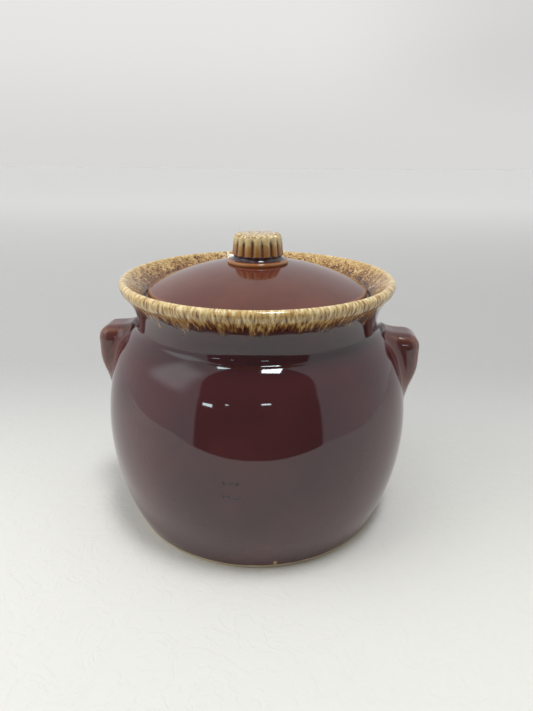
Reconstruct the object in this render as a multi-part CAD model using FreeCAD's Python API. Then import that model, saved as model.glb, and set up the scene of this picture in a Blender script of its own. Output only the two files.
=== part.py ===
import FreeCAD, Part

import math
import os

# Stoneware bean pot with two lug handles and a lid that lifts off. Units are millimetres.
# The pot stands on Z = 0 with its axis on Z, and the handles lie along X.

# Pot body, outer side, from the belly down to the foot and up to the lip
belly_radius = 95.0
belly_height = 63.0
foot_set_in = 14.2
foot_bevel = 1.0
foot_ring_width = 9.0
base_recess = 2.2
upper_arc = 125.0
upper_turn = 11.0
shoulder_arc = 54.0
neck_set_in = 20.9
neck_rise = 65.2
lip_overhang = 9.2
lip_rise = 24.5
lip_round = 2.6
bead_arc = 7.0

# Pot body, inner side, from the floor up to the gallery that holds the lid
floor_thickness = 7.3
floor_round = 18.0
wall = 7.0
throat_arc = 15.0
rim_width = 15.1
gallery_depth = 11.2
gallery_step = 1.6
ledge_width = 4.7
ledge_corner_round = 1.0

# Lid
lid_side_clearance = 1.6
seat_clearance = 0.3
lid_edge_height = 4.6
lid_rise = 15.3
lid_thickness = 6.5
lid_top_round = 2.0
lid_under_round = 1.0
flange_clearance = 1.2
flange_width = 6.0
flange_depth = 9.0
flange_round = 1.6
knob_land_margin = 0.7

# Knob
ring_radius = 18.6
ring_round = 1.3
cove_height = 1.7
cove_depth = 0.7
drum_height = 17.2
drum_top_dome = 1.1
drum_top_round = 3.0
rib_count = 16
rib_round = 1.9
rib_set_in = 3.1
rib_lean = 1.3
rib_stand = 1.0
rib_trim = 0.25
rib_foot_round = 1.2
rib_top_round = 3.4
rib_top_drop = 0.3

# Lug handles
lug_stand = 6.3
lug_top_drop = 9.5
lug_top_fall = 3.7
lug_widest_drop = 16.2
lug_under_arc = 34.0
lug_under_turn = 70.0
lug_width = 27.4
lug_end_round = 4.6
lug_top_round = 3.6
lug_cove = 4.0

axis_foot = FreeCAD.Vector(0, 0, 0)
axis_up = FreeCAD.Vector(0, 0, 1)
tiny = 0.01


def at(radius, height):
    return FreeCAD.Vector(radius, 0, height)


def polar(centre, radius, angle):
    return centre + at(radius * math.cos(angle), radius * math.sin(angle))


def line(start, end):
    return Part.LineSegment(start, end).toShape()


def arc(centre, radius, start_angle, end_angle):
    middle_angle = (start_angle + end_angle) / 2
    ends = (polar(centre, radius, a) for a in (start_angle, middle_angle, end_angle))
    return Part.Arc(*ends).toShape()


def path_through(*points):
    return [line(a, b) for a, b in zip(points, points[1:])]


def turned(edges):
    outline = Part.Wire(Part.__sortEdges__(edges))
    return Part.Face(outline).revolve(axis_foot, axis_up, 360)


def rounded(solid, radius, *corners):
    """Rounds the circular edges of a turned solid that pass through the given points."""
    chosen = [
        edge
        for edge in solid.Edges
        for corner in corners
        if not edge.Degenerated
        and isinstance(edge.Curve, Part.Circle)
        and abs(edge.Curve.Radius - corner.x) < tiny
        and abs(edge.Curve.Center.z - corner.z) < tiny
    ]
    return solid.makeFillet(radius, chosen)


# Main radii and heights
foot_radius = belly_radius - foot_set_in
neck_radius = belly_radius - neck_set_in
neck_height = belly_height + neck_rise
lip_radius = neck_radius + lip_overhang
lip_height = neck_height + lip_rise
floor_height = base_recess + floor_thickness
gallery_radius = lip_radius - rim_width
throat_radius = gallery_radius - ledge_width
ledge_height = lip_height - gallery_depth

# Centres of the outer arcs, each tangent to the next
lower_arc = (foot_set_in**2 + belly_height**2) / (2 * foot_set_in)
lower_centre = at(belly_radius - lower_arc, belly_height)
upper_centre = at(belly_radius - upper_arc, belly_height)
upper_end = math.radians(upper_turn)
shoulder_centre = polar(upper_centre, upper_arc - shoulder_arc, upper_end)

neck_run = neck_radius - shoulder_centre.x
neck_climb = neck_height - shoulder_centre.z
neck_arc = (neck_run**2 + neck_climb**2 - shoulder_arc**2) / (2 * (shoulder_arc - neck_run))
neck_centre = at(neck_radius + neck_arc, neck_height)
shoulder_end = math.atan2(neck_climb, neck_centre.x - shoulder_centre.x)

lip_centre = at(lip_radius - lip_round, lip_height - lip_round)
bead_centre = at(lip_radius - bead_arc, lip_centre.z)
flare_run = neck_radius - bead_centre.x
flare_climb = bead_centre.z - neck_height
flare_arc = (flare_run**2 + flare_climb**2 - bead_arc**2) / (2 * (bead_arc - flare_run))
flare_centre = at(neck_radius + flare_arc, neck_height)
bead_end = math.atan2(flare_climb, flare_centre.x - bead_centre.x)


def outer_side(start_height):
    """Edges of the pot's outer side from start_height on the lower belly up to the widest point of the lip."""
    start_angle = math.asin((start_height - belly_height) / lower_arc)
    return [
        arc(lower_centre, lower_arc, start_angle, 0),
        arc(upper_centre, upper_arc, 0, upper_end),
        arc(shoulder_centre, shoulder_arc, upper_end, shoulder_end),
        arc(neck_centre, neck_arc, math.pi + shoulder_end, math.pi),
        arc(flare_centre, flare_arc, math.pi, math.pi - bead_end),
        arc(bead_centre, bead_arc, -bead_end, 0),
    ]


def lower_radius(height):
    return lower_centre.x + math.sqrt(lower_arc**2 - (belly_height - height) ** 2)


# Gallery and throat, where the lid sits
gallery_edge = at(gallery_radius, ledge_height + gallery_step)
to_gallery = gallery_edge - lip_centre
gallery_angle = math.atan2(to_gallery.z, to_gallery.x) + 2 * math.pi
lip_end = gallery_angle - math.acos(lip_round / to_gallery.Length)

inner_shoulder = shoulder_arc - wall
throat_offset = throat_radius + throat_arc - shoulder_centre.x
throat_rise = math.sqrt((inner_shoulder + throat_arc) ** 2 - throat_offset**2)
throat_centre = at(throat_radius + throat_arc, shoulder_centre.z + throat_rise)
inner_shoulder_end = math.atan2(throat_rise, throat_offset)

# Floor round, tangent to the floor and to the lower wall
inner_lower = lower_arc - wall
floor_centre_height = floor_height + floor_round
floor_drop = belly_height - floor_centre_height
floor_reach = math.sqrt((inner_lower - floor_round) ** 2 - floor_drop**2)
floor_centre = at(lower_centre.x + floor_reach, floor_centre_height)
inner_lower_end = -math.atan2(floor_drop, floor_reach)


def pot_body():
    foot_edge = at(foot_radius - foot_bevel, 0)
    recess_edge = foot_edge - at(foot_ring_width, 0)
    recess_corner = recess_edge + at(-base_recess, base_recess)
    wall_foot = at(lower_radius(foot_bevel), foot_bevel)
    ledge_corner = at(gallery_radius, ledge_height)
    throat_corner = at(throat_radius, ledge_height)
    edges = path_through(at(0, base_recess), recess_corner, recess_edge, foot_edge, wall_foot)
    edges += outer_side(foot_bevel)
    edges += [arc(lip_centre, lip_round, 0, lip_end)]
    edges += path_through(
        polar(lip_centre, lip_round, lip_end),
        gallery_edge,
        ledge_corner,
        throat_corner,
        at(throat_radius, throat_centre.z),
    )
    edges += [
        arc(throat_centre, throat_arc, math.pi, math.pi + inner_shoulder_end),
        arc(shoulder_centre, inner_shoulder, inner_shoulder_end, upper_end),
        arc(upper_centre, upper_arc - wall, upper_end, 0),
        arc(lower_centre, inner_lower, 0, inner_lower_end),
        arc(floor_centre, floor_round, inner_lower_end, -math.pi / 2),
    ]
    edges += path_through(at(floor_centre.x, floor_height), at(0, floor_height), at(0, base_recess))
    return rounded(turned(edges), ledge_corner_round, throat_corner)


def outer_core():
    """The pot's outer shape with no hollow, which the handles are fitted against."""
    lip = at(lip_radius, lip_centre.z)
    edges = outer_side(foot_bevel)
    edges += path_through(lip, at(0, lip.z), at(0, foot_bevel), at(lower_radius(foot_bevel), foot_bevel))
    return turned(edges)


# Lid and knob seat
lid_radius = gallery_radius - lid_side_clearance
seat_height = ledge_height + seat_clearance
lid_edge_top = seat_height + lid_edge_height
lid_top = lid_edge_top + lid_rise
dome_arc = (lid_radius**2 + lid_rise**2) / (2 * lid_rise)
dome_centre = at(0, lid_top - dome_arc)
land_radius = ring_radius + knob_land_margin
land_angle = math.acos(land_radius / dome_arc)
land_height = polar(dome_centre, dome_arc, land_angle).z


def lid():
    edge_angle = math.acos(lid_radius / dome_arc)
    flange_outer = throat_radius - flange_clearance
    flange_inner = flange_outer - flange_width
    flange_bottom = seat_height - flange_depth
    under_arc = dome_arc - lid_thickness
    under_angle = math.acos(flange_inner / under_arc)
    under_edge = polar(dome_centre, under_arc, under_angle)
    lid_edge = at(lid_radius, lid_edge_top)
    lid_seat = at(lid_radius, seat_height)
    bottom_outer = at(flange_outer, flange_bottom)
    bottom_inner = at(flange_inner, flange_bottom)
    edges = path_through(at(0, land_height), at(land_radius, land_height))
    edges += [arc(dome_centre, dome_arc, land_angle, edge_angle)]
    edges += path_through(
        lid_edge, lid_seat, at(flange_outer, seat_height), bottom_outer, bottom_inner, under_edge
    )
    edges += [arc(dome_centre, under_arc, under_angle, math.pi / 2)]
    edges += path_through(at(0, dome_centre.z + under_arc), at(0, land_height))
    solid = rounded(turned(edges), lid_top_round, lid_edge)
    solid = rounded(solid, lid_under_round, lid_seat)
    return rounded(solid, flange_round, bottom_outer, bottom_inner)


# Knob levels
ring_centre = at(ring_radius - ring_round, land_height + ring_round)
ring_top = land_height + 2 * ring_round
rib_foot = at(ring_radius - rib_set_in, ring_top + cove_height)
drum_foot = rib_foot - at(rib_stand, 0)
drum_head = at(drum_foot.x - rib_lean, land_height + drum_height)
rib_head = drum_head + at(rib_stand, -rib_top_drop)


def rib_envelope():
    """The turned shape that the crests of the ribs follow, rounded at the foot and over the top."""
    axis_low = at(0, rib_foot.z)
    edges = path_through(axis_low, rib_foot, rib_head, at(0, rib_head.z), axis_low)
    return rounded(rounded(turned(edges), rib_top_round, rib_head), rib_foot_round, rib_foot)


def rib_bar(turn):
    """A round bar along the side of the knob, a little proud of the envelope that trims it."""
    side = rib_head - rib_foot
    inset = at(rib_round - rib_trim, 0)
    bar = Part.makeCylinder(rib_round, 2 * side.Length, rib_foot - inset - side / 2, side)
    bar.rotate(axis_foot, axis_up, turn)
    return bar


def lid_knob():
    cove_start = at(ring_centre.x, ring_top)
    cove_side = drum_foot - cove_start
    cove_normal = at(-cove_side.z, cove_side.x).normalize()
    cove_middle = (cove_start + drum_foot) / 2 + cove_normal * cove_depth
    dome_top = at(0, drum_head.z + drum_top_dome)
    dome_middle = at(drum_head.x / 2, drum_head.z + drum_top_dome * 3 / 4)
    edges = path_through(at(0, land_height), at(ring_centre.x, land_height))
    edges += [
        arc(ring_centre, ring_round, -math.pi / 2, math.pi / 2),
        Part.Arc(cove_start, cove_middle, drum_foot).toShape(),
        line(drum_foot, drum_head),
        Part.Arc(drum_head, dome_middle, dome_top).toShape(),
        line(dome_top, at(0, land_height)),
    ]
    drum = rounded(turned(edges), drum_top_round, drum_head)
    envelope = rib_envelope()
    ribs = [rib_bar(index * 360 / rib_count).common(envelope) for index in range(rib_count)]
    return drum.multiFuse(ribs)


def rounded_edges(solid, radius, chosen):
    return solid.makeFillet(radius, [edge for edge in solid.Edges if chosen(edge.BoundBox)])


def lug_blank():
    """The lug before it is fitted to the pot: a flat sloping top, an upright end and a curved underside."""
    root = throat_radius
    end = belly_radius + lug_stand
    end_top = at(end, neck_height - lug_top_drop)
    root_top = at(root, end_top.z + (end - root) * math.tan(math.radians(lug_top_fall)))
    widest = end_top - at(0, lug_widest_drop)
    under_centre = widest - at(lug_under_arc, 0)
    under_turn = -math.radians(lug_under_turn)
    under_end = polar(under_centre, lug_under_arc, under_turn)
    edges = path_through(under_end, at(root, under_end.z), root_top, end_top, widest)
    edges += [arc(under_centre, lug_under_arc, 0, under_turn)]
    side = Part.Face(Part.Wire(Part.__sortEdges__(edges)))
    side.translate(FreeCAD.Vector(0, -lug_width / 2, 0))
    blank = side.extrude(FreeCAD.Vector(0, lug_width, 0))
    blank = rounded_edges(blank, lug_end_round, lambda box: box.YLength < tiny and box.XMin > under_end.x - tiny)
    return rounded_edges(blank, lug_top_round, lambda box: box.ZMin > end_top.z - tiny and box.XMax > root + tiny)


def lies_on(edge, surface):
    """Whether an edge runs along a surface, tried at its middle."""
    middle = edge.valueAt((edge.FirstParameter + edge.LastParameter) / 2)
    return surface.distToShape(Part.Vertex(middle))[0] < tiny


def lug_handle(core):
    """The lug with a hollow round at its root, and its inner face shaped to the pot's outer side."""
    blank = lug_blank()
    joined = core.fuse(blank)
    skins = (Part.Compound(core.Faces), Part.Compound(blank.Faces))
    seam = [
        edge
        for edge in joined.Edges
        if not edge.Degenerated and all(lies_on(edge, skin) for skin in skins)
    ]
    return joined.makeFillet(lug_cove, seam).cut(core)


def other_side(shape):
    """A copy of a piece turned half round the pot's axis."""
    turned_copy = shape.copy()
    turned_copy.rotate(axis_foot, axis_up, 180)
    return turned_copy


core = outer_core()
core.rotate(axis_foot, axis_up, 90)
right_handle = lug_handle(core)
pieces = {
    "pot_body": pot_body(),
    "right_handle": right_handle,
    "left_handle": other_side(right_handle),
    "lid": lid(),
    "lid_knob": lid_knob(),
}

os.makedirs("parts", exist_ok=True)
for name, piece in pieces.items():
    piece.exportStep("parts/" + name + ".step")
    print(name, piece.isValid(), len(piece.Solids), "solid,", round(piece.Volume / 1000, 2), "ml")
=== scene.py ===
# A round stoneware bean pot with its lid, ribbed knob and two lugs, glazed brown with a mottled cream rim.
# Sizes in the dictionaries are in millimetres and degrees. The meshes are in metres.
import math
import bpy
import numpy as np
from mathutils import Matrix, Vector


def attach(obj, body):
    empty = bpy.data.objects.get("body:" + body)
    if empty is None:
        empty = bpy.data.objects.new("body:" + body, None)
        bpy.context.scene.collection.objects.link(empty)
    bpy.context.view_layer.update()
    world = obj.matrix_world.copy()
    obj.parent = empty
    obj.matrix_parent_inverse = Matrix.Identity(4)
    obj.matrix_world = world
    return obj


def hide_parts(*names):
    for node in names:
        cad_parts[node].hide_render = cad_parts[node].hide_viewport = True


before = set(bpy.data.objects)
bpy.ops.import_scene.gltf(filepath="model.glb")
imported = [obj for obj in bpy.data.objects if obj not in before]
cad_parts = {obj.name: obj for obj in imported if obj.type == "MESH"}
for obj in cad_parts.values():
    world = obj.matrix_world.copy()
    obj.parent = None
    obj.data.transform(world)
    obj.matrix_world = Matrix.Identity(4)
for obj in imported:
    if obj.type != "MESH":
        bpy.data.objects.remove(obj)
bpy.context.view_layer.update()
print("frame loaded:", ", ".join(sorted(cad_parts)))


# Profiles: rows of (radius, height)

def onCircle(centre, radius, turn):
    # centre + radius (cos turn, sin turn)
    angle = math.radians(turn)
    return (centre[0] + radius * math.cos(angle), centre[1] + radius * math.sin(angle))


def arcRun(centre, radius, start, end, reach=2.5):
    # centre + radius (cos a, sin a), a going from start to end in steps of at most 5 degrees and reach mm
    length = abs(math.radians(end - start)) * radius
    count = max(2, math.ceil(abs(end - start) / 5), math.ceil(length / reach))
    angles = np.radians(np.linspace(start, end, count + 1))
    return np.column_stack([centre[0] + radius * np.cos(angles), centre[1] + radius * np.sin(angles)])


def lineRun(first, last, reach=3.0):
    # first + s (last - first), s going from 0 to 1
    count = max(1, math.ceil(math.dist(first, last) / reach))
    share = np.linspace(0, 1, count + 1)[:, None]
    return np.array(first) + share * (np.array(last) - np.array(first))


def joined(*runs):
    # the runs one after the other, each starting where the last one ended
    return np.concatenate([runs[0]] + [run[1:] for run in runs[1:]])


def roundedRun(corners):
    # straight runs between (r, h, round) corners; at a corner the path is the curve
    # (1-s)^2 in + 2s(1-s) corner + s^2 out, which starts and ends one round's tangent away
    spots = np.array(corners)[:, :2]
    runs, here = [], spots[0]
    for before, corner, after, radius in zip(spots, spots[1:], spots[2:], [c[2] for c in corners[1:-1]]):
        inward = (before - corner) / np.linalg.norm(before - corner)
        outward = (after - corner) / np.linalg.norm(after - corner)
        half = math.acos(float(np.clip(inward @ outward, -1, 1))) / 2
        reach = radius / math.tan(half)
        start, stop = corner + inward * reach, corner + outward * reach
        share = np.linspace(0, 1, 8)[:, None]
        runs.append(lineRun(here, start))
        runs.append((1 - share) ** 2 * start + 2 * share * (1 - share) * corner + share ** 2 * stop)
        here = stop
    return joined(*runs, lineRun(here, spots[-1]))


def runningLength(profile):
    # distance along the profile from its first row
    steps = np.hypot(*np.diff(profile, axis=0).T)
    return np.concatenate([[0], np.cumsum(steps)])


def turnedGrid(profile, columns):
    # (r cos a, r sin a, h) for every row (r, h) and every a round the axis
    turns = np.linspace(0, 2 * math.pi, columns, endpoint=False)
    radius, height = profile[:, :1], profile[:, 1:]
    return np.stack([radius * np.cos(turns), radius * np.sin(turns), height + 0 * turns], axis=-1)


def closedPiece(name, grid, marks, material, body, slotName, *nodes):
    # the grid's columns wrap round, and its first and last rows are one point each, so the skin is closed
    rows, columns = grid.shape[:2]
    points = np.concatenate([grid[:1, 0], grid[1:-1].reshape(-1, 3), grid[-1:, 0]]) / 1000
    index = np.arange((rows - 2) * columns).reshape(rows - 2, columns) + 1
    beside = np.roll(index, -1, axis=1)
    quads = np.stack([index[:-1], beside[:-1], beside[1:], index[1:]], axis=-1).reshape(-1, 4)
    firstFan = np.stack([0 * index[0], beside[0], index[0]], axis=-1)
    lastFan = np.stack([0 * index[0] + len(points) - 1, index[-1], beside[-1]], axis=-1)
    fans = np.concatenate([firstFan, lastFan])
    triangles = np.concatenate([quads[:, :3], quads[:, [0, 2, 3]], fans])
    a, b, c = (points[triangles[:, k]] for k in range(3))
    if np.einsum("ij,ij->", a, np.cross(b, c)) < 0:  # six times the volume, below nought when inside out
        quads, fans = quads[:, ::-1], fans[:, ::-1]
    mesh = bpy.data.meshes.new(name)
    mesh.from_pydata(points.tolist(), [], quads.tolist() + fans.tolist())
    mesh.shade_smooth()
    for mark, values in marks.items():
        layer = mesh.attributes.new(mark, "FLOAT", "POINT")
        values = np.concatenate([values[:1, 0], values[1:-1].ravel(), values[-1:, 0]])
        layer.data.foreach_set("value", values.astype(np.float32))
    mesh.materials.append(material)
    piece = bpy.data.objects.new(name, mesh)
    bpy.context.scene.collection.objects.link(piece)
    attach(piece, body)
    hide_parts(*nodes)
    print(name, "made:", len(triangles), "triangles")
    return piece


# Shader maths written as sums on sockets

class Signal:
    # a socket of a node tree; + - * / ** on it add Math nodes
    def __init__(self, tree, socket=None):
        self.tree, self.socket = tree, socket

    def node(self, kind, settings, inputs, output=0):
        made = self.tree.nodes.new("ShaderNode" + kind)
        for name, value in settings.items():
            if name == "stops":
                ramp = made.color_ramp.elements
                ramp[0].position, ramp[0].color = value[0][0], value[0][1]
                ramp[1].position, ramp[1].color = value[-1][0], value[-1][1]
                for place, colour in value[1:-1]:
                    ramp.new(place).color = colour
            else:
                setattr(made, name, value)
        for key, value in inputs.items():
            if isinstance(value, Signal):
                self.tree.links.new(value.socket, made.inputs[key])
            else:
                made.inputs[key].default_value = value
        return Signal(self.tree, made.outputs[output])

    def maths(self, operation, *values):
        return self.node("Math", {"operation": operation}, dict(enumerate(values)))

    def __add__(self, other): return self.maths("ADD", self, other)
    def __radd__(self, other): return self.maths("ADD", other, self)
    def __sub__(self, other): return self.maths("SUBTRACT", self, other)
    def __rsub__(self, other): return self.maths("SUBTRACT", other, self)
    def __mul__(self, other): return self.maths("MULTIPLY", self, other)
    def __rmul__(self, other): return self.maths("MULTIPLY", other, self)
    def __truediv__(self, other): return self.maths("DIVIDE", self, other)
    def __rtruediv__(self, other): return self.maths("DIVIDE", other, self)
    def __pow__(self, other): return self.maths("POWER", self, other)


def fade(value, low, high):
    # 3 s^2 - 2 s^3 with s = (value - low) / (high - low), kept between 0 and 1
    ends = {0: value, 1: low, 2: high, 3: 0.0, 4: 1.0}
    return value.node("MapRange", {"interpolation_type": "SMOOTHSTEP"}, ends)


def band(value, low, high, soft):
    # 1 from low to high, fading to 0 over soft on each side
    return fade(value, low - soft, low) * (1 - fade(value, high, high + soft))


def tint(share, first, second):
    # first (1 - share) + second share, for colours
    return share.node("Mix", {"data_type": "RGBA"}, {0: share, 6: first, 7: second}, 2)


def rgb(red, green, blue):
    return (red, green, blue, 1.0)


def greys(*stops):
    # a ramp's stops for a plain number
    return [(place, rgb(level, level, level)) for place, level in stops]


def noiseAt(pen, where, scale, detail=2.0, roughness=0.5, distortion=0.0):
    # cloudy noise about 1 / scale across
    inputs = {"Vector": where, "Scale": scale, "Detail": detail, "Roughness": roughness,
              "Distortion": distortion}
    return pen.node("TexNoise", {}, inputs)


def glaze(name, look):
    # a glossy glazed surface: the material, its shader and a pen that adds nodes to its tree
    material = bpy.data.materials.new(name)
    material.use_nodes = True
    shader = material.node_tree.nodes["Principled BSDF"]
    shader.inputs["IOR"].default_value = look["ior"]
    shader.inputs["Specular Tint"].default_value = look["gleam"]
    return material, shader, Signal(material.node_tree)


def places(pen):
    # object coordinates: the vector, its x, y, z in millimetres, and the distance from the axis
    where = pen.node("TexCoord", {}, {}, "Object")
    x, y, z = (pen.node("SeparateXYZ", {}, {0: where}, k) * 1000 for k in range(3))
    return where, x, y, z, pen.maths("SQRT", x * x + y * y + 0.01)


def wire(pen, shader, colour, roughness, height):
    # height is in millimetres; a roughness that is the same all over is set on the shader itself
    bump = pen.node("Bump", {}, {"Strength": 1.0, "Distance": 0.001, "Height": height})
    for key, value in (("Base Color", colour), ("Roughness", roughness), ("Normal", bump)):
        if isinstance(value, Signal):
            pen.tree.links.new(value.socket, shader.inputs[key])
        else:
            shader.inputs[key].default_value = value


def swell(pen, where, look):
    # the slow waviness of a thick glaze and its fine orange peel, in millimetres
    slow = noiseAt(pen, where, 1000 / look["waveLength"], 1.0)
    fine = noiseAt(pen, where, 1000 / look["peelLength"], 1.0)
    return slow * look["waveHeight"] + fine * look["peelHeight"]


# Pot body

potShape = {
    "belly": 95.0, "bellyHeight": 63.0, "footSetIn": 14.2, "footRing": 9.0, "recess": 2.2,
    "upperArc": 127.8, "upperTurn": 19.5, "shoulderArc": 35.9, "shoulderTurn": 52.3, "neckArc": 5.6,
    "lipRadius": 83.21, "lipHeight": 153.21, "lipRound": 2.6, "beadArc": 6.7,
    "rimWidth": 15.0, "galleryDepth": 11.7, "galleryStep": 1.6, "ledgeWidth": 4.7,
    "wall": 7.0, "throatArc": 15.0, "floorThickness": 7.3, "floorRound": 18.0, "footRound": 0.8, "columns": 320,
}


def potProfile(size):
    # tangent arcs from under the foot, up the outside, over the lip, down inside and in to the floor's middle
    belly, middle, wall = size["belly"], size["bellyHeight"], size["wall"]
    lower = (size["footSetIn"] ** 2 + middle ** 2) / (2 * size["footSetIn"])
    lowerCentre, upperCentre = (belly - lower, middle), (belly - size["upperArc"], middle)
    shoulderCentre = onCircle(upperCentre, size["upperArc"] - size["shoulderArc"], size["upperTurn"])
    neckCentre = onCircle(shoulderCentre, size["shoulderArc"] + size["neckArc"], size["shoulderTurn"])
    lip, top, curl = size["lipRadius"], size["lipHeight"], size["lipRound"]
    lipCentre, beadCentre = (lip - curl, top - curl), (lip - size["beadArc"], top - curl)
    neck = neckCentre[0] - size["neckArc"]
    run, climb = neck - beadCentre[0], beadCentre[1] - neckCentre[1]
    flare = (run ** 2 + climb ** 2 - size["beadArc"] ** 2) / (2 * (size["beadArc"] - run))
    flareCentre = (neck + flare, neckCentre[1])
    flareTurn = math.degrees(math.atan2(climb, flareCentre[0] - beadCentre[0]))
    footRound = size["footRound"]
    footReach = math.sqrt((lower - footRound) ** 2 - (middle - footRound) ** 2)
    footCentre = (lowerCentre[0] + footReach, footRound)
    footTurn = -math.degrees(math.atan2(middle - footRound, footReach))
    inFoot = belly - size["footSetIn"] - size["footRing"]
    outside = joined(
        roundedRun([(0, size["recess"], 0), (inFoot - size["recess"], size["recess"], 1.5), (inFoot, 0, 1.0),
                    (footCentre[0], 0, 0)]),
        arcRun(footCentre, footRound, -90, footTurn),
        arcRun(lowerCentre, lower, footTurn, 0),
        arcRun(upperCentre, size["upperArc"], 0, size["upperTurn"]),
        arcRun(shoulderCentre, size["shoulderArc"], size["upperTurn"], size["shoulderTurn"], 1.5),
        arcRun(neckCentre, size["neckArc"], 180 + size["shoulderTurn"], 180, 0.8),
        arcRun(flareCentre, flare, 180, 180 - flareTurn, 1.2),
        arcRun(beadCentre, size["beadArc"], -flareTurn, 0, 0.8),
        arcRun(lipCentre, curl, 0, 90, 0.5),
    )
    gallery, ledge = lip - size["rimWidth"], top - size["galleryDepth"]
    edge = (gallery, ledge + size["galleryStep"])
    toEdge = (edge[0] - lipCentre[0], edge[1] - lipCentre[1])
    lipTurn = 360 + math.degrees(math.atan2(toEdge[1], toEdge[0]) - math.acos(curl / math.hypot(*toEdge)))
    throat = gallery - size["ledgeWidth"]
    inShoulder = size["shoulderArc"] - wall
    offset = throat + size["throatArc"] - shoulderCentre[0]
    rise = math.sqrt((inShoulder + size["throatArc"]) ** 2 - offset ** 2)
    throatCentre = (throat + size["throatArc"], shoulderCentre[1] + rise)
    throatTurn = math.degrees(math.atan2(rise, offset))
    floor = size["recess"] + size["floorThickness"]
    drop = middle - floor - size["floorRound"]
    floorReach = math.sqrt((lower - wall - size["floorRound"]) ** 2 - drop ** 2)
    floorCentre = (lowerCentre[0] + floorReach, floor + size["floorRound"])
    floorTurn = -math.degrees(math.atan2(drop, floorReach))
    inside = joined(
        arcRun(lipCentre, curl, 90, lipTurn, 0.5),
        roundedRun([(*onCircle(lipCentre, curl, lipTurn), 0), (*edge, 0.9), (gallery, ledge, 0.5),
                    (throat, ledge, 1.2), (throat, throatCentre[1], 0)]),
        arcRun(throatCentre, size["throatArc"], 180, 180 + throatTurn),
        arcRun(shoulderCentre, inShoulder, throatTurn, size["upperTurn"]),
        arcRun(upperCentre, size["upperArc"] - wall, size["upperTurn"], 0, 4),
        arcRun(lowerCentre, lower - wall, 0, floorTurn, 4),
        arcRun(floorCentre, size["floorRound"], floorTurn, -90),
        lineRun((floorCentre[0], floor), (0, floor), 8),
    )
    profile = joined(outside, inside)
    length = runningLength(profile)
    return profile, length[len(outside) - 1] - length  # flow: more than 0 outside the crest, less inside


potLook = {
    "ior": 1.66, "gloss": 0.045, "dark": rgb(0.060, 0.0135, 0.0160), "warm": rgb(0.080, 0.0180, 0.0190),
    "gleam": rgb(0.78, 0.96, 1.0), "cloudScale": 22.0, "raggedScale": 70.0, "scuffScale": 420.0,
    "waveLength": 19.0, "waveHeight": 0.045, "peelLength": 2.2, "peelHeight": 0.0012,
    "clay": rgb(0.55, 0.44, 0.28), "bareHeight": 2.7,  # the unglazed line along the foot
    "chip": (17.8, -82.3, 4.4), "chipReach": 3.4, "chipClay": rgb(0.46, 0.26, 0.12),
    "marks": ((-5.3, 65.4), (-4.8, 56.8)), "markReach": (4.0, 0.6), "markColour": rgb(0.012, 0.004, 0.003),
    "rimRadius": 83.0, "streakWidth": 1.35, "streakLength": 5.0, "wormSize": 2.4, "contrast": 1.9,
    "dripWidth": 9.0, "dripLength": 30.0, "dripReach": 1.1,
    "level": greys((0.0, 0.10), (0.118, 0.32), (0.235, 0.46), (0.353, 0.56), (0.426, 0.70), (0.485, 0.80),
                   (0.559, 0.76), (0.647, 0.62), (0.765, 0.54), (0.882, 0.28), (1.0, 0.0)),
    "flowStart": -16.0, "flowEnd": 18.0,  # the flow at the two ends of level
    "rim": [(0.0, rgb(0.058, 0.0185, 0.013)), (0.20, rgb(0.10, 0.036, 0.015)), (0.36, rgb(0.22, 0.096, 0.030)),
            (0.52, rgb(0.40, 0.225, 0.075)), (0.68, rgb(0.53, 0.35, 0.13)), (0.84, rgb(0.65, 0.48, 0.22)),
            (1.0, rgb(0.79, 0.66, 0.38))],
}


def rimTone(pen, x, y, radius, flow, look):
    # how pale the rim glaze is: level(flow) + (grain - 1/2) contrast, with grain as streaks outside the crest
    # and worms inside it, on a pattern of (x/r, y/r) rimRadius / width and flow / length
    acrossX, acrossY = x / radius, y / radius
    def patternAt(width, length):
        turns = look["rimRadius"] / width
        return pen.node("CombineXYZ", {}, {0: acrossX * turns, 1: acrossY * turns, 2: flow / length})
    streaks = noiseAt(pen, patternAt(look["streakWidth"], look["streakLength"]), 1.0, 2.5, 0.55, 0.25)
    worms = noiseAt(pen, patternAt(look["wormSize"], look["wormSize"]), 1.0, 2.0, 0.5, 1.4)
    drips = noiseAt(pen, patternAt(look["dripWidth"], look["dripLength"]), 1.0, 2.0)
    outer = fade(flow, -4.0, 0.5)
    grain = streaks * outer + worms * (1 - outer)
    reach = flow * (1.0 + (0.5 - drips) * look["dripReach"])
    along = (reach - look["flowStart"]) / (look["flowEnd"] - look["flowStart"])
    level = pen.node("ValToRGB", {"stops": look["level"]}, {0: along})
    inBand = fade(level, 0.0, 0.12)
    return level + (grain - 0.5) * look["contrast"] * (0.25 + inBand * 0.75) * inBand, grain, inBand


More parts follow.
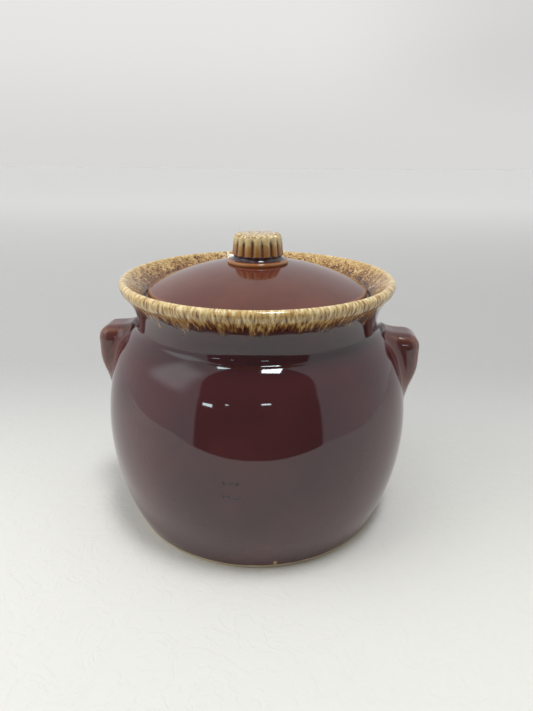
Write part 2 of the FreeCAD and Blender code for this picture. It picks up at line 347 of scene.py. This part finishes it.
def potGlaze(look):
    # clouds of dark and warm brown, the mottled rim over them, bare clay at the foot and chip, two scuffs
    material, shader, pen = glaze("potGlaze", look)
    where, x, y, z, radius = places(pen)
    flow = pen.node("Attribute", {"attribute_name": "flow"}, {}, "Fac")
    tone, grain, inBand = rimTone(pen, x, y, radius, flow, look)
    cloud = fade(noiseAt(pen, where, look["cloudScale"], 3.0), 0.35, 0.7)
    body = tint(cloud, look["dark"], look["warm"])
    rim = pen.node("ValToRGB", {"stops": look["rim"]}, {0: tone})
    ragged = noiseAt(pen, where, look["raggedScale"], 3.0) * 1.6 + z
    chipX, chipY, chipZ = look["chip"]
    offX, offY, offZ = x - chipX, y - chipY, z - chipZ
    fromChip = pen.maths("SQRT", offX * offX * 1.6 + offY * offY + offZ * offZ * 0.5)
    chip = 1 - fade(fromChip + (ragged - z) * 2.2, look["chipReach"], look["chipReach"] + 0.5)
    line = 1 - fade(ragged, look["bareHeight"] + 0.5, look["bareHeight"] + 0.9)
    bare = pen.maths("MAXIMUM", line, chip)
    scuff = fade(noiseAt(pen, where, look["scuffScale"], 3.0, 0.6, 1.0), 0.47, 0.56)
    marked, (wide, tall) = 0.0, look["markReach"]
    for markX, markZ in look["marks"]:
        spot = band(x, markX - wide, markX + wide, 1.0) * band(z, markZ - tall, markZ + tall, 0.5)
        marked = scuff * spot + marked
    marked = marked * fade(0 - y, 0, 10)  # on the front alone
    colour = tint(marked * 0.9, tint(inBand, body, rim), look["markColour"])
    colour = tint(bare, colour, tint(chip, look["clay"], look["chipClay"]))
    height = swell(pen, where, look) + inBand * grain * 0.08 - bare * 0.15 - marked * 0.08
    wire(pen, shader, colour, look["gloss"] + bare * 0.6 + marked * 0.1, height)
    return material


potOutline, potFlow = potProfile(potShape)
potGrid = turnedGrid(potOutline, potShape["columns"])
closedPiece("bean_pot", potGrid, {"flow": potFlow[:, None] + 0 * potGrid[..., 0]}, potGlaze(potLook),
            "pot", "pot_glaze", "pot_body")


# Lid

lidShape = {
    "radius": 66.61, "seat": 141.81, "edgeTop": 146.41, "rise": 15.3, "thickness": 6.5, "landRadius": 19.3,
    "flangeOuter": 62.3, "flangeInner": 56.3, "flangeBottom": 132.8, "topRound": 2.2, "columns": 360,
}


def lidProfile(size):
    # a flat land under the knob, a dome of one arc, a rounded edge, the flange and the dome's underside
    rise, radius = size["rise"], size["radius"]
    dome = (radius ** 2 + rise ** 2) / (2 * rise)
    centre = (0, size["edgeTop"] + rise - dome)
    landTurn = math.degrees(math.acos(size["landRadius"] / dome))
    edgeTurn = math.degrees(math.acos(radius / dome)) + 0.8
    under = dome - size["thickness"]
    underTurn = math.degrees(math.acos(size["flangeInner"] / under))
    land = onCircle(centre, dome, landTurn)
    profile = joined(
        lineRun((0, land[1]), land),
        arcRun(centre, dome, landTurn, edgeTurn),
        roundedRun([(*onCircle(centre, dome, edgeTurn), 0), (radius, size["edgeTop"], size["topRound"]),
                    (radius, size["seat"], 1.0), (size["flangeOuter"], size["seat"], 0.5),
                    (size["flangeOuter"], size["flangeBottom"], 1.6),
                    (size["flangeInner"], size["flangeBottom"], 1.6),
                    (*onCircle(centre, under, underTurn), 0)]),
        arcRun(centre, under, underTurn, 90, 4),
    )
    return profile, land[1]


lidLook = {
    "ior": 1.6, "gloss": 0.06, "gleam": rgb(0.85, 0.97, 1.0),
    "deep": rgb(0.102, 0.0270, 0.0175), "light": rgb(0.130, 0.0380, 0.0230),
    "thin": rgb(0.24, 0.085, 0.030), "clay": rgb(0.52, 0.42, 0.28), "cloudScale": 26.0, "breakScale": 240.0,
    "thinRadius": (65.2, 66.9), "thinHeight": (143.0, 144.5),
    "seatRadius": (60.6, 61.4), "seatHeight": (142.6, 143.1), "toeHeight": (133.6, 134.0),
    "waveLength": 24.0, "waveHeight": 0.05, "peelLength": 2.2, "peelHeight": 0.0012,
}


def lidGlaze(look):
    # clouds of two browns, thinner and redder glaze along the edge, bare clay on the seat and flange
    material, shader, pen = glaze("lidGlaze", look)
    where, _, _, z, radius = places(pen)
    cloud = fade(noiseAt(pen, where, look["cloudScale"], 3.0), 0.35, 0.68)
    colour = tint(cloud, look["deep"], look["light"])
    breakUp = noiseAt(pen, where, look["breakScale"], 3.0)
    edge = fade(radius + breakUp * 1.6, *look["thinRadius"]) * fade(z, *look["thinHeight"])
    colour = tint(edge, colour, look["thin"])
    # bare where it stood in the kiln
    seat = fade(radius, *look["seatRadius"]) * (1 - fade(z + breakUp, *look["seatHeight"]))
    toe = 1 - fade(z + breakUp, *look["toeHeight"])
    bare = pen.maths("MAXIMUM", seat, toe)
    colour = tint(bare, colour, look["clay"])
    wire(pen, shader, colour, look["gloss"] + bare * 0.6, swell(pen, where, look) - bare * 0.12)
    return material


lidOutline, landHeight = lidProfile(lidShape)
closedPiece("domed_lid", turnedGrid(lidOutline, lidShape["columns"]), {}, lidGlaze(lidLook),
            "lid", "lid_glaze", "lid")


# Knob

knobShape = {
    "ring": 18.6, "ringRound": 1.3, "sunk": 0.3, "footRadius": 15.5, "headRadius": 14.2,
    "footHeight": 4.3, "headHeight": 17.25, "rowStep": 0.4,
    "topRound": 3.4, "dome": 1.0, "ribs": 16, "ribDepth": 1.25, "ribStart": 1.4, "facing": 4.3, "columns": 384,
}


def knobGrid(size, land):
    # a turned profile pushed in along its normal between the ribs, by depth (1 - (1/2 + cos(n a)/2)^0.4)
    ring, curl, foot, base = size["ring"], size["ringRound"], size["footRadius"], land - size["sunk"]
    skirt = joined(
        lineRun((0, base), (ring - curl, base)),
        arcRun((ring - curl, base + curl), curl, -90, 75, 0.5),
    )
    start, stop = skirt[-1], np.array([foot - 1.0, land + size["footHeight"]])
    share = np.linspace(0, 1, 9)[:, None]
    low = np.array([stop[0] + 0.5, start[1] + 0.35])
    cove = (1 - share) ** 2 * start + 2 * share * (1 - share) * low + share ** 2 * stop
    head = (size["headRadius"], land + size["headHeight"])
    side = roundedRun([(*stop, 0), (foot, land + size["footHeight"] + 0.6, 0.6), (*head, size["topRound"]),
                       (head[0] - size["topRound"] - 1.0, head[1] + size["dome"] * 0.5, 0.8),
                       (0, head[1] + size["dome"], 0)])
    profile = joined(skirt, cove, side)
    length = runningLength(profile)
    step = size["rowStep"]
    spaced = np.arange(length[len(skirt) - 1] + step, length[-1] - step / 2, step)
    even = np.concatenate([length[:len(skirt)], spaced, length[-1:]])
    profile = np.column_stack([np.interp(even, length, profile[:, k]) for k in range(2)])
    slope = np.gradient(profile, axis=0)
    normal = np.column_stack([slope[:, 1], -slope[:, 0]]) / np.hypot(slope[:, 0], slope[:, 1])[:, None]
    along = even - length[len(skirt) + len(cove) - 2]
    total = math.dist((foot, 0), (head[0], size["headHeight"] - size["footHeight"]))
    fadeIn = np.clip(along / size["ribStart"], 0, 1) ** 0.7
    fadeOut = np.clip((total + 4.6 - along) / 4.0, 0, 1)
    depth = size["ribDepth"] * fadeIn * fadeOut * fadeOut * (3 - 2 * fadeOut)
    turns = np.linspace(0, 2 * math.pi, size["columns"], endpoint=False)
    ridge = (0.5 + 0.5 * np.cos(size["ribs"] * (turns + math.radians(90 - size["facing"])))) ** 0.4
    push = -depth[:, None] * (1 - ridge)
    radius = profile[:, :1] + normal[:, :1] * push
    height = profile[:, 1:] + normal[:, 1:] * push
    radius[[0, -1]] = 0
    grid = np.stack([radius * np.cos(turns), radius * np.sin(turns), height], axis=-1)
    onRib = ridge[None, :] * np.clip(depth[:, None] / size["ribDepth"], 0, 1)
    return grid, {"rib": onRib}


knobLook = {
    "ior": 1.55, "gloss": 0.07, "gleam": rgb(0.9, 0.97, 1.0),
    "ring": rgb(0.33, 0.130, 0.036), "navy": rgb(0.050, 0.026, 0.032),
    "groove": rgb(0.130, 0.048, 0.018), "amber": rgb(0.37, 0.165, 0.042), "gold": rgb(0.55, 0.36, 0.12),
    "cream": rgb(0.68, 0.54, 0.28), "speck": rgb(0.19, 0.080, 0.028),
    "waveLength": 9.0, "waveHeight": 0.05, "peelLength": 1.6, "peelHeight": 0.0015,
    # heights above the lid's land between which each colour comes in
    "ringTop": (1.9, 2.7), "coveStart": (2.0, 2.6), "cove": (2.3, 5.0), "amberTurns": (7.0, 14.0),
    "creamStarts": (12.6, 16.0), "topStarts": (15.4, 16.6), "breakScale": 420.0, "speckScale": 520.0,
}


def knobGlaze(look, land):
    # by height: ring, dark cove, amber ribs with brown grooves, cream shoulders and a speckled top
    material, shader, pen = glaze("knobGlaze", look)
    where, x, y, z, _ = places(pen)
    rib = pen.node("Attribute", {"attribute_name": "rib"}, {}, "Fac")
    breakUp = noiseAt(pen, where, look["breakScale"], 3.0, 0.6)
    drips = noiseAt(pen, pen.node("CombineXYZ", {}, {0: x * 0.55, 1: y * 0.55, 2: z * 0.12}), 1.0, 3.0)
    up = z - land + (drips - 0.5) * 5.0
    onCrest = fade(rib + (breakUp - 0.5) * 0.5, 0.25, 0.75)
    amber = tint(fade(up, *look["amberTurns"]), look["amber"], look["gold"])
    side = tint(onCrest, look["groove"], amber)
    creamy = fade(up + rib * 2.2 + (breakUp - 0.5) * 5.0, *look["creamStarts"])
    side = tint(creamy * 0.92, side, look["cream"])
    top = fade(z - land, *look["topStarts"])
    spots = fade(noiseAt(pen, where, look["speckScale"], 2.0, 0.6, 0.8), 0.42, 0.60)
    side = tint(top * spots * 0.8, side, look["speck"])
    cove = band(up * 0.4 + (z - land) * 0.6, *look["cove"], 1.1) * fade(z - land, *look["coveStart"])
    colour = tint(cove, side, look["navy"])
    colour = tint(1 - fade(z - land, *look["ringTop"]), colour, look["ring"])
    wire(pen, shader, colour, look["gloss"], swell(pen, where, look) + breakUp * top * 0.05)
    return material


knobSkin, knobMarks = knobGrid(knobShape, landHeight)
closedPiece("ribbed_knob", knobSkin, knobMarks, knobGlaze(knobLook, landHeight),
            "lid", "knob_glaze", "lid_knob")


# Lugs

lugShape = {
    "rightReach": 100.6, "leftReach": 101.1, "rightTop": 119.4, "leftTop": 119.4, "fall": 3.8, "widest": 102.7,
    "underArc": 33.2, "width": 27.2, "endRound": 8.0, "topRound": 8.0, "cove": 6.0,
    "heart": (60.0, 0.0, 103.0), "endMiddle": (101.0, 0.0, 111.0),  # where the rays start, and the first target
    "skirt": (24.0, 26.0, 30.0), "skirtMiddle": 102.0, "rows": 150, "capRows": 16, "columns": 200,
    "skirtOut": 86.0, "skirtBend": 0.10, "proud": 0.05, "capDepth": 2.5, "farthest": 1.8, "halvings": 30,
}


def roundMax(a, b, radius):
    # max(a, b), its edge turned on a radius: the length of (a + radius, b + radius), less the radius
    corner = np.hypot(np.maximum(radius + a, 0), np.maximum(radius + b, 0))
    return np.minimum(-radius, np.maximum(a, b)) + corner


def roundMin(a, b, radius):
    # min(a, b) with a hollow round between the two: the radius less the length of (radius - a, radius - b)
    hollow = np.hypot(np.maximum(radius - a, 0), np.maximum(radius - b, 0))
    return np.maximum(radius, np.minimum(a, b)) - hollow


def outsidePot(x, y, z, size):
    # distance out from the pot's upper side and shoulder
    middle, upperArc = size["bellyHeight"], size["upperArc"]
    upperCentre = (size["belly"] - upperArc, middle)
    shoulder = onCircle(upperCentre, upperArc - size["shoulderArc"], size["upperTurn"])
    r = np.hypot(x, y)
    onShoulder = np.arctan2(z - middle, r - upperCentre[0]) > math.radians(size["upperTurn"])
    return np.where(onShoulder, np.hypot(r - shoulder[0], z - shoulder[1]) - size["shoulderArc"],
                    np.hypot(r - upperCentre[0], z - middle) - upperArc)


def lugParts(x, y, z, size, reach, top):
    # distances from the rounded end and underside, the two cheeks and the sloping top
    centreX, centreZ = reach - size["underArc"], size["widest"]
    end = np.where(z > centreZ, x - centreX, np.hypot(x - centreX, z - centreZ)) - size["underArc"]
    slope = math.radians(size["fall"])
    lid = (z - top - (reach - x) * math.tan(slope)) * math.cos(slope)
    return end, np.abs(y) - size["width"] / 2, lid


def lugGrid(size, pot, reach, top, side):
    # heart + t (target - heart), t halved in on where the lug, run into the pot's skin on a hollow round, ends;
    # targets go from the middle of the lug's end out to the superellipse |y/a|^5 + |z/b|^5 = 1 on the skin.
    # The last rows come back capDepth under the skin, so the piece is closed.
    turns = np.linspace(0, 2 * math.pi, size["columns"], endpoint=False)
    def power(value):
        return np.sign(value) * np.abs(value) ** 0.4
    wide, above, below = size["skirt"]
    skirtY = wide * power(np.cos(turns))
    skirtZ = np.where(np.sin(turns) > 0, above, below) * power(np.sin(turns)) + size["skirtMiddle"]
    skirt = np.stack([size["skirtOut"] - size["skirtBend"] * np.abs(skirtY), skirtY, skirtZ], axis=-1)
    middle, heart = np.array(size["endMiddle"]), np.array(size["heart"])
    share = np.concatenate([np.linspace(0, 1, size["rows"]), np.linspace(1, 0, size["capRows"])])
    share = share[:, None, None]
    under = np.arange(len(share))[:, None] >= size["rows"]
    ray = middle + (skirt - middle) * share - heart
    def gap(t):
        x, y, z = np.moveaxis(heart + ray * t[..., None], -1, 0)
        end, cheek, lid = lugParts(x, y, z, size, reach, top)
        lug = roundMax(roundMax(end, cheek, size["endRound"]), lid, size["topRound"])
        skin = outsidePot(x, y, z, pot)
        return np.where(under, skin + size["capDepth"], roundMin(lug, skin + size["proud"], size["cove"]))
    low, high = np.zeros(ray.shape[:2]), np.full(ray.shape[:2], size["farthest"])
    for _ in range(size["halvings"]):
        t = (low + high) / 2
        inside = gap(t) < 0
        low, high = np.where(inside, t, low), np.where(inside, high, t)
    grid = heart + ray * low[..., None]
    end, cheek, lid = lugParts(*np.moveaxis(grid, -1, 0), size, reach, top)
    upright = np.exp(-((end - cheek) / 3.4) ** 2) * (end > -6)
    brow = np.exp(-((np.maximum(end, cheek) - lid) / 3.0) ** 2)
    thin = np.maximum(upright, brow) * np.clip(outsidePot(*np.moveaxis(grid, -1, 0), pot) / 4, 0, 1)
    grid[..., 0] *= side
    return grid, {"thin": thin}


lugLook = {
    "ior": 1.62, "gloss": 0.06, "gleam": rgb(0.82, 0.96, 1.0),
    "dark": rgb(0.100, 0.0310, 0.0260), "warm": rgb(0.140, 0.0460, 0.0350), "thin": rgb(0.200, 0.080, 0.048),
    "cloudScale": 40.0, "breakScale": 160.0,
    "waveLength": 20.0, "waveHeight": 0.05, "peelLength": 2.0, "peelHeight": 0.0012,
}


def lugGlaze(look):
    # clouds of two browns, paler where the glaze thins over the edges
    material, shader, pen = glaze("lugGlaze", look)
    where = places(pen)[0]
    edge = pen.node("Attribute", {"attribute_name": "thin"}, {}, "Fac")
    cloud = fade(noiseAt(pen, where, look["cloudScale"], 3.0), 0.35, 0.68)
    breakUp = noiseAt(pen, where, look["breakScale"], 3.0)
    colour = tint(cloud, look["dark"], look["warm"])
    colour = tint(fade(edge + (breakUp - 0.5) * 0.8, 0.35, 1.1) * 0.75, colour, look["thin"])
    wire(pen, shader, colour, look["gloss"] + cloud * 0.02, swell(pen, where, look))
    return material


lugMaterial = lugGlaze(lugLook)
rightSkin, rightMarks = lugGrid(lugShape, potShape, lugShape["rightReach"], lugShape["rightTop"], 1)
closedPiece("right_lug", rightSkin, rightMarks, lugMaterial, "pot", "handle_glaze", "right_handle")
leftSkin, leftMarks = lugGrid(lugShape, potShape, lugShape["leftReach"], lugShape["leftTop"], -1)
closedPiece("left_lug", leftSkin, leftMarks, lugMaterial, "pot", "handle_glaze", "left_handle")


# Camera, floor and light

viewpoint = {"azimuth": 4.3, "distance": 334.86, "height": 226.52, "aside": 5.7, "down": 20.73, "roll": 0.4,
             "lens": 28.0, "sensor": 36.0, "nearest": 0.01, "farthest": 50.0}  # the last two in metres
turn = math.radians(viewpoint["azimuth"])
rightward = Vector((math.cos(turn), math.sin(turn), 0))
awayward = Vector((-math.sin(turn), math.cos(turn), 0))


def addCamera(view):
    # on the circle distance away from the pot's axis, looking down towards it
    down = math.radians(view["down"])
    forward = awayward * math.cos(down) - Vector((0, 0, math.sin(down)))
    upward = rightward.cross(forward)
    spot = rightward * view["aside"] - awayward * view["distance"] + Vector((0, 0, view["height"]))
    data = bpy.data.cameras.new("camera")
    data.lens, data.sensor_width = view["lens"], view["sensor"]
    data.clip_start, data.clip_end = view["nearest"], view["farthest"]
    camera = bpy.data.objects.new("camera", data)
    bpy.context.scene.collection.objects.link(camera)
    roll = math.radians(view["roll"])
    across = rightward * math.cos(roll) + upward * math.sin(roll)
    axes = Matrix((across, across.cross(forward), -forward)).transposed().to_4x4()
    camera.matrix_world = Matrix.Translation(spot / 1000) @ axes
    bpy.context.scene.camera = camera


floorLook = {
    "front": 340.0, "left": 500.0, "right": 370.0, "back": 6000.0, "spread": 4000.0,
    "paper": rgb(0.675, 0.672, 0.632), "turned": rgb(0.41, 0.41, 0.402), "far": rgb(0.65, 0.646, 0.634),
    "turnedAway": (-120.0, 260.0), "farAway": (300.0, 2200.0), "roughness": 0.8, "specular": 0.2,
    "grainScale": 300.0, "grainHeight": 0.05, "embossScale": 55.0, "embossHeight": 0.10,
}


def addFloor(look):
    # a sheet that widens to the back, its corners given aside and away from the pot's foot
    corners = [(-look["left"], -look["front"]), (look["right"], -look["front"]),
               (look["spread"], look["back"]), (-look["spread"], look["back"])]
    points = [(rightward * aside + awayward * away) / 1000 for aside, away in corners]
    mesh = bpy.data.meshes.new("paper_floor")
    mesh.from_pydata(points, [], [(0, 1, 2, 3)])
    material = bpy.data.materials.new("paper")
    material.use_nodes = True
    pen = Signal(material.node_tree)
    shader = material.node_tree.nodes["Principled BSDF"]
    shader.inputs["Specular IOR Level"].default_value = look["specular"]
    where, x, y, _, _ = places(pen)
    away = x * awayward.x + y * awayward.y
    # painted shade: the paper is darker in a band just behind the pot, like the shaded foot of a wall, and
    # paler again far back
    colour = tint(fade(away, *look["turnedAway"]), look["paper"], look["turned"])
    colour = tint(fade(away, *look["farAway"]), colour, look["far"])
    embossed = fade(noiseAt(pen, where, look["embossScale"], 2.0, 0.5, 2.5), 0.48, 0.56)
    grain = noiseAt(pen, where, look["grainScale"], 3.0) * look["grainHeight"]
    wire(pen, shader, colour, look["roughness"], grain + embossed * look["embossHeight"])
    mesh.materials.append(material)
    sheet = bpy.data.objects.new("paper_floor", mesh)
    bpy.context.scene.collection.objects.link(sheet)


roomLook = {
    # haze and slots: azimuth from, to, elevation from, to, strength; ceiling: slopes from, to, twice, strength
    "walls": 0.66, "room": 0.10, "middle": 1.5, "half": 44.5, "widen": 11.0, "low": -50.0, "high": 84.0,
    "behind": rgb(1.0, 0.99, 0.975), "wallTint": rgb(0.985, 0.99, 1.0), "haze": (-88.0, -68.0, 26.0, 46.0, 0.9),
    "slots": [(-39.5, -33.0, 10.2, 11.6, 11.0), (4.0, 10.5, 16.2, 17.6, 12.0), (-22.6, -20.8, 13.4, 14.4, 9.0)],
    "ceiling": [(0.05, 0.235, 0.0, 0.33, 26.0), (-0.385, -0.265, 0.11, 0.18, 9.0)],
    "wallSoft": 2.5, "heightSoft": 3.5, "hazeSoft": (16.0, 14.0), "slotSoft": 0.5, "ceilingSoft": 0.012,
    "backLow": 0.688, "backRise": 0.112, "backShadeRight": 0.13,
}


def addRoom(look):
    # the camera sees a pale backdrop with painted light and shade, paler upwards and darker low on the right;
    # the glaze sees pale walls, a darker room in front and a few small lights
    world = bpy.data.worlds.new("room")
    bpy.context.scene.world = world
    world.use_nodes = True
    tree = world.node_tree
    pen = Signal(tree)
    direction = pen.node("TexCoord", {}, {}, "Generated")
    x, y, z = (pen.node("SeparateXYZ", {}, {0: direction}, k) for k in range(3))
    aside = x * rightward.x + y * rightward.y
    toward = 0 - (x * awayward.x + y * awayward.y)
    azimuth = pen.maths("ARCTAN2", aside, toward) * (180 / math.pi)
    elevation = pen.maths("ARCSINE", z) * (180 / math.pi)
    offMiddle = pen.maths("ABSOLUTE", azimuth - look["middle"]) - fade(elevation, 15.0, 60.0) * look["widen"]
    dark = 1 - fade(offMiddle, look["half"], look["half"] + look["wallSoft"])
    dark = dark * band(elevation, look["low"], look["high"], look["heightSoft"])
    left, right, low, high, strength = look["haze"]
    level = look["walls"] - dark * (look["walls"] - look["room"])
    wide, tall = look["hazeSoft"]
    level = level + band(azimuth, left, right, wide) * band(elevation, low, high, tall) * strength
    for left, right, low, high, strength in look["slots"]:
        spot = band(azimuth, left, right, look["slotSoft"]) * band(elevation, low, high, look["slotSoft"])
        level = level + spot * strength
    overhead = fade(z, 0.5, 0.6)
    acrossX, acrossY = aside / (z * z + 0.0001) ** 0.5, toward / (z * z + 0.0001) ** 0.5
    for left, right, low, high, strength in look["ceiling"]:
        spot = band(acrossX, left, right, look["ceilingSoft"]) * band(acrossY, low, high, look["ceilingSoft"])
        level = level + spot * overhead * strength
    # painted shade and light on the backdrop: darker low on the right, paler upwards
    paintedShadeRight = fade(aside, 0.05, 0.40) * fade(z, 0.0, 0.15) * look["backShadeRight"]
    backdrop = look["backLow"] + fade(z, -0.03, 0.2) * look["backRise"] - paintedShadeRight
    seen = pen.node("Background", {}, {"Color": look["behind"], "Strength": backdrop})
    felt = pen.node("Background", {}, {"Color": look["wallTint"], "Strength": level})
    ray = pen.node("LightPath", {}, {}, "Is Camera Ray")
    mixed = pen.node("MixShader", {}, {0: ray, 1: felt, 2: seen})
    tree.links.new(mixed.socket, tree.nodes["World Output"].inputs["Surface"])


lampAim = Vector((0, 0, 80.0))
lampLook = [
    {"name": "windowLamp", "spot": (-1250.0, -250.0, 850.0), "size": 1300.0, "power": 8.0},
    {"name": "overheadLamp", "spot": (-100.0, -300.0, 1500.0), "size": 1200.0, "power": 4.0},
]


def addLamp(look):
    # a square area lamp turned towards the middle of the pot
    data = bpy.data.lights.new(look["name"], "AREA")
    data.shape, data.size, data.energy = "SQUARE", look["size"] / 1000, look["power"]
    lamp = bpy.data.objects.new(look["name"], data)
    bpy.context.scene.collection.objects.link(lamp)
    lamp.visible_glossy = False  # the glaze mirrors the room instead
    spot = Vector(look["spot"]) / 1000
    aim = (lampAim / 1000 - spot).to_track_quat("-Z", "Y")
    lamp.matrix_world = Matrix.Translation(spot) @ aim.to_matrix().to_4x4()


addCamera(viewpoint)
addFloor(floorLook)
addRoom(roomLook)
for lamp in lampLook:
    addLamp(lamp)
bpy.context.scene.view_settings.view_transform = "Standard"
print("camera, floor and lights set")
